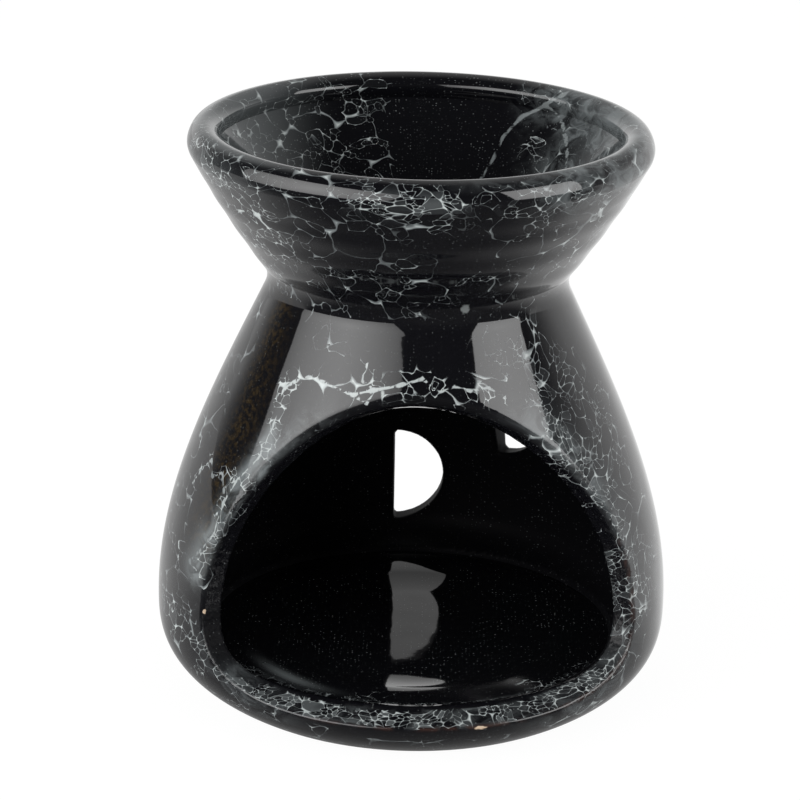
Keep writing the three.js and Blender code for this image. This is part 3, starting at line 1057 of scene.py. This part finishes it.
class BURNER_OT_oil_dish(bpy.types.Operator):
    """Turn the flared dish with its rolled lip."""

    bl_idname = "burner.oil_dish"
    bl_label = "Oil dish"

    # Turning rings on the cone: their pitch and depth, and the height of one ring
    RING_PITCH = 4.95
    RING_DEPTH = 0.045
    RING_HEIGHT = 73.6
    # Clay between the waist and the bottom of the bowl
    BOTTOM = 4.4

    def execute(self, context):
        form = Form(context.scene)
        s = form.s
        lip, flare, foot = form.lip, form.flare, form.dish_foot
        outward = np.array([math.cos(flare), -math.sin(flare)])
        climb = np.array([math.sin(flare), math.cos(flare)])
        top = lip + outward * s["lip_radius"]
        middle = (foot + top) / 2 + outward * 0.9
        waist = s["waist_height"]
        heights = np.concatenate([[waist, waist + 0.06], np.arange(waist + 0.2, foot[1], 0.2)])
        fillet = np.stack([form.radius(heights), heights], axis=1)
        side = bezier(foot, middle, top, 90)
        height = side[:, 1]
        rings = np.sin((height - self.RING_HEIGHT) / self.RING_PITCH * math.tau) * self.RING_DEPTH
        side = side + outward * (rings * step(height, 73, 75) * step(90 - height, 0, 4))[:, None]
        turn = np.linspace(-flare, math.pi - flare * 1.1, 60)[1:]
        # The lip's outer face is a little flatter than a circle
        swell = s["lip_radius"] * (1 - 0.08 * hump(turn, math.radians(22), 0.6))
        roll = lip + swell[:, None] * np.stack([np.cos(turn), np.sin(turn)], axis=1)
        inner_top = top - outward * s["wall"] - climb * 0.8
        ease = bezier(roll[-1], roll[-1] + (roll[-1] - roll[-2]) * 7, inner_top - climb * 1.2, 12)[1:]
        floor = waist + self.BOTTOM
        inner_foot = foot - outward * s["wall"]
        bend = inner_foot + climb * (floor - inner_foot[1]) / climb[1]
        inner = np.linspace(ease[-1], bend + climb * 5, 36)[1:]
        bowl = bezier(inner[-1], bend, np.array([bend[0] - 8, floor]), 26)[1:]
        bottom = np.array([[r, floor] for r in (11.5, 9, 6, 3, 0)])
        under = np.array([[r, waist] for r in (0, 6, 12, 18, 21)])
        section = np.vstack([under, fillet, side, roll, ease, inner, bowl, bottom])
        piece = turned("oil_dish_glazed", section.tolist(), s["turn_steps"])
        piece.data.shade_smooth()
        piece.data.set_sharp_from_angle(angle=math.radians(50))
        paint_dish(piece, form, section)
        drop = (math.radians(17) * form.FLAT_RADIUS, 2.6)
        glaze = marbled_glaze("Dish glaze", context.scene.burner_glaze, drops=[(drop, (1.1, 1.6), 0.2)])
        dress(piece, glaze, "oil_dish")
        return {"FINISHED"}


class BURNER_OT_stage(bpy.types.Operator):
    """Set the pale floor, the soft lamps, the surroundings and the camera."""

    bl_idname = "burner.stage"
    bl_label = "Stage"

    def execute(self, context):
        self.table()
        self.surroundings(context.scene)
        self.lamp("Left softbox", azimuth=-54, elevation=20, size=(1.46, 0.68), power=4.75, spread=105)
        self.lamp("Right softbox", azimuth=62, elevation=18, size=(0.60, 0.60), power=2.5, spread=128)
        self.camera(context.scene)
        context.scene.view_settings.view_transform = "Standard"
        return {"FINISHED"}

    def table(self):
        """A pale table whose colour, not its light, makes the white ground, and which the glaze mirrors as
        a painted reflection.
        """
        bm = bmesh.new()
        bmesh.ops.create_grid(bm, x_segments=1, y_segments=1, size=3)
        table = to_object("Table", bm)
        material = bpy.data.materials.new("White table")
        material.use_nodes = True
        tree = material.node_tree
        paint = tree.nodes["Principled BSDF"]
        paint.inputs["Base Color"].default_value = (0.8, 0.8, 0.8, 1)
        paint.inputs["Roughness"].default_value = 0.7
        paint.inputs["Specular IOR Level"].default_value = 0.1
        path = node(tree, "ShaderNodeLightPath").outputs
        shade = node(tree, "ShaderNodeBsdfDiffuse", {"Color": (0.06, 0.06, 0.06, 1)})
        glow = node(tree, "ShaderNodeEmission", {"Color": (1, 1, 1, 1), "Strength": 0.96})
        white = node(tree, "ShaderNodeAddShader", {0: shade.outputs[0], 1: glow.outputs[0]})
        # For glossy rays the table is a glow, a painted reflection: white at the back, and dim in front
        # and at the left as painted shade, as in a small tent
        place = node(tree, "ShaderNodeTexCoord").outputs["Object"]
        place = node(tree, "ShaderNodeSeparateXYZ", {0: place}).outputs
        far = fade(tree, place["Y"], -0.055, 0.045, 0.10, 1.0)
        far = calc(tree, "MULTIPLY", far, fade(tree, place["X"], -0.06, 0.04, 0.72, 1.0))
        painted_reflection_glow = node(tree, "ShaderNodeEmission", {"Color": (1, 1, 1, 1), "Strength": far})
        mirrored = {0: path["Is Glossy Ray"], 1: paint.outputs[0], 2: painted_reflection_glow.outputs[0]}
        mirrored = node(tree, "ShaderNodeMixShader", mirrored)
        both = {0: path["Is Camera Ray"], 1: mirrored.outputs[0], 2: white.outputs[0]}
        both = node(tree, "ShaderNodeMixShader", both)
        tree.links.new(both.outputs[0], tree.nodes["Material Output"].inputs["Surface"])
        table.data.materials.append(material)

    def surroundings(self, scene):
        """White behind the pot and to the eye, dim on the camera's side, as in a small studio."""
        world = bpy.data.worlds.new("Studio")
        world.use_nodes = True
        scene.world = world
        tree = world.node_tree
        path = node(tree, "ShaderNodeLightPath").outputs
        aim = node(tree, "ShaderNodeTexCoord").outputs["Generated"]
        aim = node(tree, "ShaderNodeSeparateXYZ", {0: aim}).outputs
        left = calc(tree, "MINIMUM", aim["X"], 0.0)
        behind = fade(tree, total(tree, aim["Y"], left, 0.53), -0.15, 0.55, 0.05, 1.0)
        behind = calc(tree, "MULTIPLY", behind, fade(tree, aim["Z"], 0.12, 0.42, 1.0, 0.45))
        clear = calc(tree, "MAXIMUM", path["Is Camera Ray"], path["Is Transmission Ray"])
        fill = mix(tree, path["Is Glossy Ray"], 0.5, behind)
        strength = mix(tree, clear, fill, 1.0)
        tree.links.new(strength, tree.nodes["Background"].inputs["Strength"])
        tree.nodes["Background"].inputs["Color"].default_value = (1, 1, 1, 1)

    def lamp(self, name, azimuth, elevation, size, power, spread, distance=0.9):
        """A soft rectangular lamp that faces the pot."""
        light = bpy.data.lights.new(name, "AREA")
        light.shape = "RECTANGLE"
        light.size, light.size_y = size
        light.energy = power
        light.spread = math.radians(spread)
        lamp = bpy.data.objects.new(name, light)
        a, e = math.radians(azimuth), math.radians(elevation)
        aim = Vector((math.sin(a) * math.cos(e), -math.cos(a) * math.cos(e), math.sin(e)))
        lamp.location = aim * distance + Vector((0, 0, 0.05))
        lamp.rotation_euler = aim.to_track_quat("Z", "Y").to_euler()
        bpy.context.scene.collection.objects.link(lamp)

    def camera(self, scene):
        """The photograph's viewpoint: 533 mm away, 19.3 degrees above level, rolled a little."""
        data = bpy.data.cameras.new("Camera")
        data.sensor_width = 36
        data.lens = 144
        data.clip_start = 0.01
        camera = bpy.data.objects.new("Camera", data)
        pitch = math.radians(19.3)
        roll = math.radians(1.2)
        distance = 0.5333
        aim_x, aim_z = -0.00255, 0.0485
        camera.location = (aim_x, -distance * math.cos(pitch), aim_z + distance * math.sin(pitch))
        turn = Euler((math.pi / 2 - pitch, 0, 0)).to_matrix() @ Matrix.Rotation(roll, 3, "Z")
        camera.rotation_euler = turn.to_euler()
        scene.collection.objects.link(camera)
        scene.camera = camera


class BURNER_PT_panel(bpy.types.Panel):
    """Lists the burner's pieces in the sidebar."""

    bl_label = "Marbled oil burner"
    bl_idname = "BURNER_PT_panel"
    bl_space_type = "VIEW_3D"
    bl_region_type = "UI"
    bl_category = "Burner"

    def draw(self, context):
        for operator in OPERATORS:
            self.layout.operator(operator.bl_idname)
        scene = context.scene
        for group in (scene.burner_shape, scene.burner_openings, scene.burner_glaze):
            column = self.layout.column()
            for name in group.__annotations__:
                column.prop(group, name)


OPERATORS = (BURNER_OT_stage, BURNER_OT_chamber_floor, BURNER_OT_chamber_wall, BURNER_OT_oil_dish)
CLASSES = (BurnerShape, BurnerOpenings, BurnerGlaze, *OPERATORS, BURNER_PT_panel)


def register():
    """Adds the classes and the pot's sizes and colours to Blender."""
    for cls in CLASSES:
        bpy.utils.register_class(cls)
    bpy.types.Scene.burner_shape = PointerProperty(type=BurnerShape)
    bpy.types.Scene.burner_openings = PointerProperty(type=BurnerOpenings)
    bpy.types.Scene.burner_glaze = PointerProperty(type=BurnerGlaze)


def unregister():
    """Takes them out again."""
    del bpy.types.Scene.burner_glaze
    del bpy.types.Scene.burner_openings
    del bpy.types.Scene.burner_shape
    for cls in reversed(CLASSES):
        bpy.utils.unregister_class(cls)


def main():
    """Makes the stage and the pieces."""
    register()
    bpy.ops.burner.stage()
    bpy.ops.burner.chamber_floor()
    bpy.ops.burner.chamber_wall()
    bpy.ops.burner.oil_dish()


if __name__ == "__main__":
    main()
